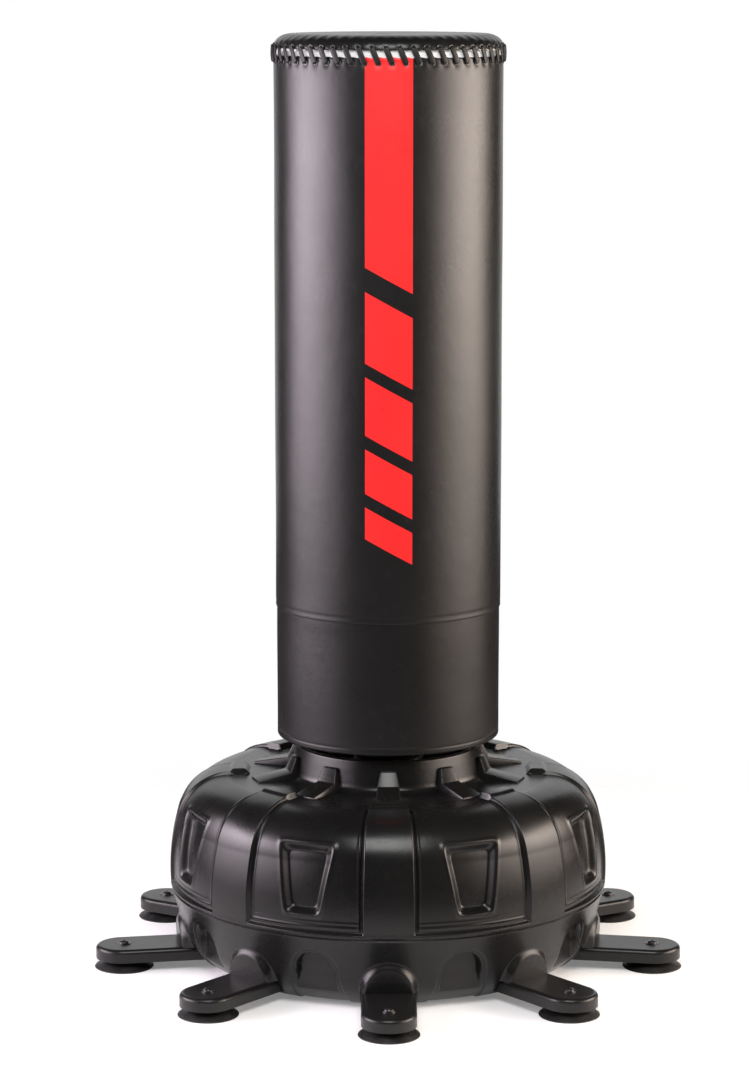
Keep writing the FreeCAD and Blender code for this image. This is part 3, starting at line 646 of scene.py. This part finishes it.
def build_hooks():
    """Gussets that run down the collar and out over the deck, with narrow rounded edges."""
    profile = [
        (164.0, HOOK_TOP_Z), (179.0, HOOK_TOP_Z), (190.0, HOOK_BEND_Z),
        (252.0, 347.0), (254.0, HOOK_SUNK_Z), (164.0, HOOK_SUNK_Z),
    ]
    count = len(profile)
    meshes = []
    for i in range(HOOKS):
        turn = Matrix.Rotation(FRONT + 2 * math.pi * i / HOOKS, 3, "Z")
        verts = []
        for side in (-1, 1):
            for r, z in profile:
                half = HOOK_HALF + HOOK_DRAFT * (HOOK_BEND_Z - z)
                verts.append(turn @ Vector((r, side * half, z)) * MM)
        faces = [list(range(count)), list(range(2 * count - 1, count - 1, -1))]
        faces += [[(k + 1) % count, k, count + k, count + (k + 1) % count] for k in range(count)]
        meshes.append((verts, faces))
    hooks = joined("collar_hooks", meshes, None)
    bevel = hooks.modifiers.new("bevel", "BEVEL")
    bevel.width = HOOK_EDGE
    bevel.segments = 3
    apply_modifiers(hooks)
    hooks.data.shade_smooth()
    hooks.data.set_sharp_from_angle(angle=math.radians(35.0))
    place(hooks, "base", "tank_plastic")


# Spring

def build_spring():
    """The coil cut into two halves at its middle height."""
    source = frame["nodes"]["coil_spring"]
    low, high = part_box("coil_spring")
    middle = (low.z + high.z) / 2
    halves = (
        ("coil_lower_half", True, "base", "spring", low.z, middle),
        ("coil_upper_half", False, "spring", "bag", middle, high.z),
    )
    for name, lower, body, next_body, first, last in halves:
        half = new_object(name, [], [], None)
        half.data = source.data.copy()
        half.data.transform(source.matrix_world)
        shape = bmesh.new()
        shape.from_mesh(half.data)
        everything = shape.verts[:] + shape.edges[:] + shape.faces[:]
        bmesh.ops.bisect_plane(
            shape,
            geom=everything,
            plane_co=(0.0, 0.0, middle),
            plane_no=(0.0, 0.0, 1.0),
            clear_outer=lower,
            clear_inner=not lower,
        )
        shape.to_mesh(half.data)
        shape.free()
        give(half, MATERIALS["coated_steel"])
        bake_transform(half)
        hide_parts("coil_spring")


# Suction cups

def build_cups():
    """Each cup: a thin lip on the floor, a hollow waist and a stepped neck under the leg."""
    profile = [
        (0.2, 18.0), (21.0, 18.0), (22.5, 17.2), (22.5, 14.4), (21.0, 13.4), (21.0, 12.4),
        (24.5, 11.6), (29.0, 11.0), (34.0, 9.9), (39.5, 8.0), (43.0, 6.2), (46.0, 4.6), (46.6, 5.2),
        (48.2, 4.4), (50.5, 3.0), (52.6, 2.2), (53.5, 1.4), (53.5, 0.5), (52.9, 0.0), (50.8, 0.0),
        (49.4, 0.5), (42.0, 2.6), (33.5, 4.4), (22.0, 5.7), (12.0, 6.0), (0.2, 6.0),
    ]
    smooth_profile = line_points(profile, 90)
    for i in range(LEGS):
        node = "suction_cup_%d" % (i + 1)
        low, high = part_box(node)
        centre = (low + high) / 2
        cup = lathe("cup_body_%d" % (i + 1), smooth_profile * MM, segments=96)
        for vertex in cup.data.vertices:
            vertex.co.x += centre.x
            vertex.co.y += centre.y
        place(cup, "base", "cup_rubber", stands_for=[node])


# Bag

def lace_dimples(angle, height, level, shift):
    """Pull of the cord at each eyelet, from 0 to 1."""
    off = BAG_R * nearest_offset(angle, LACES, FRONT + shift)
    return np.exp(-((off / (6.5 * MM)) ** 2) - ((height - level) / (7.0 * MM)) ** 2)


def slack(angle, height, size):
    """Slow unevenness of a cover that is stretched over foam, in metres."""
    wave = np.sin(3 * angle + 9.0 * height + 0.6) * 0.35
    wave += np.sin(5 * angle - 6.0 * height + 2.1) * 0.25
    wave += np.sin(2 * angle + 17.0 * height + 4.0) * 0.22
    wave += np.sin(8 * angle + 11.0 * height + 1.2) * 0.12
    return size * wave


def shell_points(outer, columns):
    """Radius, height and angle grids of a closed wall, and its count of outer rows.

    The outer side is outer [(r, z)], and the inner side lies SKIN further in.
    """
    inner = [(r - SKIN, z) for r, z in outer[::-1]]
    rows = np.array(outer + inner)
    angle = np.linspace(0, 2 * math.pi, columns, endpoint=False)[None, :]
    r = np.repeat(rows[:, :1], columns, 1)
    z = np.repeat(rows[:, 1:], columns, 1)
    return r, z, angle, len(outer)


def wall_object(name, r, z, angle):
    points = np.stack([r * np.cos(angle), r * np.sin(angle), z], -1)
    return grid_object(name, points, close_rows=True, smooth_angle=60.0)


def hem_edge(radius, z, direction, turn=2.6 * MM):
    """A rolled edge: the last few millimetres of a wall curl inward. direction is +1 at a top edge."""
    quarter = [math.radians(18 * k) for k in range(6)]
    return [
        (radius - turn * (1 - math.cos(a)), z - direction * turn * (1 - math.sin(a)))
        for a in quarter
    ]


def build_cover():
    columns = 864
    body = np.linspace(SEAM_Z + 3.2 * MM, HEM_Z - 3.2 * MM, 300)
    low = hem_edge(BAG_R, SEAM_Z, -1)[::-1]
    high = hem_edge(BAG_R, HEM_Z, 1)
    outer = low + [(BAG_R, float(h)) for h in body] + high
    r, z, angle, count = shell_points(outer, columns)
    outside = np.zeros(r.shape)
    outside[:count] = 1.0
    near_edge = smooth(0.0, 0.05, z - SEAM_Z) * smooth(0.0, 0.05, HEM_Z - z)
    r += outside * slack(angle, z, 0.9 * MM) * near_edge
    r -= outside * 1.5 * MM * lace_dimples(angle, z, LACE_LOW_Z, LACE_SLANT / 2)
    r -= outside * 0.8 * MM * bump_at(z, SEAM_Z + 9 * MM, 1.1 * MM)
    z += 0.9 * MM * np.cos(LACES * (angle - FRONT - LACE_SLANT / 2)) * smooth(HEM_Z - 10 * MM, HEM_Z, z)
    cover = wall_object("cover_skin", r, z, angle)
    place(cover, "bag", "grained_leather", COVER_LEATHER, ["bag_cover"])


def build_sleeve():
    columns = 720
    body = np.linspace(SKIRT_Z + 3.2 * MM, SEAM_Z, 120)
    outer = hem_edge(SLEEVE_R, SKIRT_Z, -1)[::-1] + [(SLEEVE_R, float(h)) for h in body]
    r, z, angle, count = shell_points(outer, columns)
    outside = np.zeros(r.shape)
    outside[:count] = 1.0
    near_edge = smooth(0.0, 0.03, z - SKIRT_Z) * smooth(0.0, 0.03, SEAM_Z - z)
    r += outside * slack(angle + 1.0, z * 1.4, 0.7 * MM) * near_edge
    r -= outside * 0.9 * MM * bump_at(z, SKIRT_Z + 11 * MM, 1.2 * MM)
    sleeve = wall_object("sleeve_skin", r, z, angle)
    place(sleeve, "bag", "grained_leather", SLEEVE_LEATHER, ["lower_sleeve"])


def build_cap():
    """The domed cap: a skirt pulled in at every lace hole, a padded shoulder and a flat top with a seam."""
    columns = 864
    width, height = 33.0 * MM, TOP_Z - CAP_SKIRT_Z - 2.0 * MM
    angles = np.linspace(0, math.pi / 2, 22)
    edge = [
        (BAG_R - width * (1 - math.cos(a)), TOP_Z - height * (1 - math.sin(a))) for a in angles
    ]
    skirt = hem_edge(BAG_R, CAP_SKIRT_Z, -1, 1.6 * MM)[::-1]
    flat = [(float(x), TOP_Z) for x in np.linspace(BAG_R - width, 0.004, 44)[1:]]
    outer = skirt + edge + flat
    r, z, angle, count = shell_points(outer, columns)
    r[count:] = np.maximum(r[count:], 0.001)
    inner_z = np.array([p[1] for p in outer[::-1]])[:, None]
    z[count:] = inner_z - SKIN * smooth(CAP_SKIRT_Z, TOP_Z, inner_z)
    outside = np.zeros(r.shape)
    outside[:count] = 1.0
    r -= outside * 1.3 * MM * lace_dimples(angle, z, LACE_HIGH_Z, -LACE_SLANT / 2)
    shoulder = bump_at(r, BAG_R - 17 * MM, 12 * MM)
    pucker = 0.5 + 0.5 * np.cos(LACES * (angle - FRONT + LACE_SLANT / 2))
    z -= outside * 0.9 * MM * shoulder * pucker
    z -= outside * 1.1 * MM * bump_at(r, BAG_R - width + 2 * MM, 1.3 * MM)
    z -= outside * (0.8 * MM + slack(angle, r * 6.0, 0.8 * MM)) * smooth(BAG_R - width, BAG_R - 60 * MM, r)
    cap = wall_object("cap_skin", r, z, angle)
    place(cap, "bag", "grained_leather", stands_for=["top_cap"])


def build_band():
    """The liner between the hem and the cap, ruffled slightly by the lacing."""
    low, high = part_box("lace_band")
    radius = (high.y - low.y) / 2
    columns = 1080
    heights = np.linspace(low.z, high.z, 24)
    outer = [(radius, float(h)) for h in heights]
    angle = np.linspace(0, 2 * math.pi, columns, endpoint=False)[None, :]
    rows = np.array(outer + [(radius - 1.5 * MM, z) for _, z in outer[::-1]])
    r = np.repeat(rows[:, :1], columns, 1)
    z = np.repeat(rows[:, 1:], columns, 1)
    r[: len(outer)] += 1.6 * MM + 0.9 * MM * np.cos(LACES * (angle - FRONT))
    band = wall_object("liner_ruffle", r, z, angle)
    place(band, "bag", "liner", stands_for=["lace_band"])


def cylinder_point(angle, radius, z):
    return np.array([radius * math.cos(angle), radius * math.sin(angle), z])


def strand_path(centre):
    """One strand: out of the cap's eyelet, slanting down over the gap and into the cover's eyelet."""
    run_r = BAG_R + 1.1 * MM + LACE_R
    high = centre - LACE_SLANT / 2
    low = centre + LACE_SLANT / 2
    start = cylinder_point(high, BAG_R - 1.0 * MM, LACE_HIGH_Z)
    end = cylinder_point(low, BAG_R - 1.0 * MM, LACE_LOW_Z)
    over = [start]
    for t in np.linspace(0.0, 1.0, 9):
        bulge = 0.9 * MM * math.sin(math.pi * t)
        a = high + (low - high) * t
        over.append(cylinder_point(a, run_r - 0.8 * MM + bulge, LACE_HIGH_Z + (LACE_LOW_Z - LACE_HIGH_Z) * t))
    over.append(end)
    points = np.array(over)
    for _ in range(2):
        mixed = [points[0]]
        for a, b in zip(points[:-1], points[1:]):
            mixed += [a * 0.75 + b * 0.25, a * 0.25 + b * 0.75]
        mixed.append(points[-1])
        points = np.array(mixed)
    return points


def thong(path, wide=5.2 * MM, thick=1.8 * MM, root=2.4 * MM, sides=16):
    """A flat thong along a path; it narrows where it turns into an eyelet."""
    steps = np.linalg.norm(np.diff(path, axis=0), axis=1)
    along = np.concatenate([[0.0], np.cumsum(steps)]) / steps.sum()
    tangent = np.gradient(path, axis=0)
    tangent /= np.linalg.norm(tangent, axis=1)[:, None]
    across = np.cross(path[-1] - path[0], path[0] * np.array([1.0, 1.0, 0.0]))
    across /= np.linalg.norm(across)
    outward = np.cross(across[None, :], tangent)
    turn = np.linspace(0, 2 * math.pi, sides, endpoint=False)
    flat = np.sign(np.cos(turn)) * np.abs(np.cos(turn)) ** 0.6
    round_side = np.sin(turn)
    half = root + (wide - root) * smooth(0.0, 0.18, along) * smooth(1.0, 0.88, along)
    verts = path[:, None, :] + (half[:, None] * flat)[..., None] * across
    verts = verts + (thick * round_side)[None, :, None] * outward[:, None, :]
    rows = len(path)
    faces = []
    for i in range(rows - 1):
        for k in range(sides):
            n = (k + 1) % sides
            faces.append([i * sides + k, i * sides + n, (i + 1) * sides + n, (i + 1) * sides + k])
    faces.append(list(range(sides))[::-1])
    faces.append([(rows - 1) * sides + k for k in range(sides)])
    return verts.reshape(-1, 3), faces


def build_lacing():
    meshes = [thong(strand_path(FRONT + 2 * math.pi * i / LACES)) for i in range(LACES)]
    laces = joined("lace_strands", meshes, 55.0)
    place(laces, "bag", "lace_cord", stands_for=["lacing"])


def build_eyelets():
    """Domed grommets round every lace hole."""
    mean = (EYELET_R + EYELET_BORE) / 2
    half = (EYELET_R - EYELET_BORE) / 2
    meshes = []
    for i in range(LACES):
        for shift, z in ((-LACE_SLANT / 2, LACE_HIGH_Z), (LACE_SLANT / 2, LACE_LOW_Z)):
            a = FRONT + 2 * math.pi * i / LACES + shift
            out = np.array([math.cos(a), math.sin(a), 0.0])
            side = np.array([-math.sin(a), math.cos(a), 0.0])
            up = np.array([0.0, 0.0, 1.0])
            centre = out * (BAG_R - 0.2 * MM) + up * z
            verts, faces = [], []
            for j in range(20):
                b = 2 * math.pi * j / 20
                spoke = math.cos(b) * side + math.sin(b) * up
                for k in range(8):
                    c = 2 * math.pi * k / 8
                    verts.append(centre + spoke * (mean + half * math.cos(c)) + out * 1.0 * MM * math.sin(c))
            for j in range(20):
                for k in range(8):
                    n, m = (j + 1) % 20, (k + 1) % 8
                    faces.append([j * 8 + k, n * 8 + k, n * 8 + m, j * 8 + m])
            meshes.append((verts, faces))
    rings = joined("grommets", meshes, None)
    place(rings, "bag", "zinc_steel", GROMMET_METAL, ["eyelets"])


# Studio

def seen(tree):
    """1 for the rays that see the backdrop: the camera's, and those that metal or glass sends on."""
    path = tree.nodes.new("ShaderNodeLightPath")
    total = path.outputs["Is Camera Ray"]
    for name in ("Is Glossy Ray", "Is Transmission Ray"):
        larger = tree.nodes.new("ShaderNodeMath")
        larger.operation = "MAXIMUM"
        tree.links.new(total, larger.inputs[0])
        tree.links.new(path.outputs[name], larger.inputs[1])
        total = larger.outputs[0]
    return total


def build_floor():
    """A pale disc that keeps the shadow near the stand and fades into the white backdrop."""
    rings = (1.0, 2.0, 3.0)
    turns = 96
    verts = []
    for r in rings:
        for k in range(turns):
            a = 2 * math.pi * k / turns
            verts.append((r * math.cos(a), r * math.sin(a), 0.0))
    faces = [list(range(turns))]
    for j in range(len(rings) - 1):
        for k in range(turns):
            after = (k + 1) % turns
            faces.append([j * turns + k, (j + 1) * turns + k, (j + 1) * turns + after, j * turns + after])
    floor = new_object("floor", verts, faces, None)
    n = Nodes("pale_floor")
    n.finish(grey(0.9), 0.6, Emission_Color=(1.0, 1.0, 1.0, 1.0))
    n.link(n.math("MULTIPLY", seen(n.tree), FLOOR_GLOW), n.shader.inputs["Emission Strength"])
    x, y, z = n.separate()
    distance = n.math("SQRT", n.math("ADD", n.math("MULTIPLY", x, x), n.math("MULTIPLY", y, y)))
    fade = n.remap(distance, FLOOR_FADE_START, FLOOR_FADE_END, 0.0, 1.0)
    clear = n.tree.nodes.new("ShaderNodeBsdfTransparent")
    blend = n.tree.nodes.new("ShaderNodeMixShader")
    n.link(fade, blend.inputs[0])
    n.link(n.shader.outputs[0], blend.inputs[1])
    n.link(clear.outputs[0], blend.inputs[2])
    n.link(blend.outputs[0], n.tree.nodes["Material Output"].inputs["Surface"])
    give(floor, n.material)


def open_wall(name, radius, low, high, first, last, columns, closed=False):
    """An upright curved sheet round the stand; the angles are counted from straight behind."""
    turns = np.linspace(math.pi / 2 + first, math.pi / 2 + last, columns)
    verts = [(radius * math.cos(a), radius * math.sin(a), z) for z in (low, high) for a in turns]
    faces = [[k, k + 1, columns + k + 1, columns + k] for k in range(columns - 1)]
    if closed:
        faces += [[columns + k for k in range(columns)], [k for k in range(columns)]]
    wall = new_object(name, verts, faces, None)
    wall.visible_camera = False
    wall.visible_shadow = False
    return wall


def build_flags():
    """Dark cloths on the camera's side, overhead and under the floor's clear rim: seen only in gloss.

    The side behind the stand stays open, so that the gloss shows the white background there.
    """
    last = 2 * math.pi - CLOTH_GAP
    flags = open_wall("dark_flags", CLOTH_R, -0.02, CLOTH_TOP, CLOTH_GAP, last, 64, closed=True)
    flags.visible_diffuse = False
    give(flags, Nodes("dark_cloth").finish(grey(0.012), 0.9))


def build_bank(name, side, strength, tint):
    """A tall soft light beside the stand: brightest towards the back, it fades towards the camera."""
    edge, full, fading, inner = (math.radians(a) for a in (64.0, 86.0, 104.0, 140.0))
    bank = open_wall(name, BANK_R, BANK_FLOOR_GAP, BANK_TOP, side * edge, side * inner, 40)
    n = Nodes(name + "_glow")
    x, y, z = n.separate()
    turn = n.math("ARCTAN2", n.math("MULTIPLY", x, -side), y)
    rise, fall = n.remap(turn, edge, full, 0.0, 1.0), n.remap(turn, fading, inner, 1.0, 0.0)
    fade = n.math("MULTIPLY", rise, fall)
    fade = n.math("MULTIPLY", fade, n.remap(z, 0.35, 1.45, 0.22, 1.0))
    glow = n.tree.nodes.new("ShaderNodeEmission")
    glow.inputs["Color"].default_value = tint
    n.link(n.math("MULTIPLY", fade, strength), glow.inputs["Strength"])
    n.link(glow.outputs[0], n.tree.nodes["Material Output"].inputs["Surface"])
    give(bank, n.material)


def area_lamp(name, size, place_at, aim, power, colour):
    lamp = bpy.data.lights.new(name, "AREA")
    lamp.shape = "RECTANGLE"
    lamp.size, lamp.size_y = size
    lamp.energy = power
    lamp.color = colour
    obj = bpy.data.objects.new(name, lamp)
    obj.location = place_at
    obj.rotation_euler = (Vector(aim) - Vector(place_at)).to_track_quat("-Z", "Y").to_euler()
    bpy.context.scene.collection.objects.link(obj)


def build_studio():
    world = bpy.data.worlds.new("studio")
    bpy.context.scene.world = world
    world.use_nodes = True
    tree = world.node_tree
    background = tree.nodes["Background"]
    background.inputs["Color"].default_value = (1.0, 1.0, 1.0, 1.0)
    strength = tree.nodes.new("ShaderNodeMapRange")
    strength.inputs["To Min"].default_value = WORLD_FILL
    strength.inputs["To Max"].default_value = 1.0
    tree.links.new(seen(tree), strength.inputs["Value"])
    tree.links.new(strength.outputs[0], background.inputs["Strength"])
    build_bank("left_bank", 1, 19.0, (1.0, 0.88, 0.97, 1.0))
    build_bank("right_bank", -1, 18.0, (1.0, 0.86, 0.76, 1.0))
    area_lamp("front_top", (1.6, 1.3), (0.0, -2.3, 2.7), (0, 0, 0.4), 66.0, (1.0, 1.0, 0.99))


def build_camera():
    camera = bpy.data.cameras.new("camera")
    camera.lens = CAMERA_LENS
    camera.clip_end = 60.0
    obj = bpy.data.objects.new("camera", camera)
    obj.location = CAMERA_PLACE
    obj.rotation_euler = (Vector(CAMERA_AIM) - obj.location).to_track_quat("-Z", "Y").to_euler()
    bpy.context.scene.collection.objects.link(obj)
    bpy.context.scene.camera = obj


finish_cad_nodes()
build_tank()
build_hooks()
build_spring()
build_cups()
build_cover()
build_sleeve()
build_cap()
build_band()
build_lacing()
build_eyelets()
build_floor()
build_flags()
build_studio()
build_camera()
bpy.context.scene.view_settings.view_transform = "Standard"
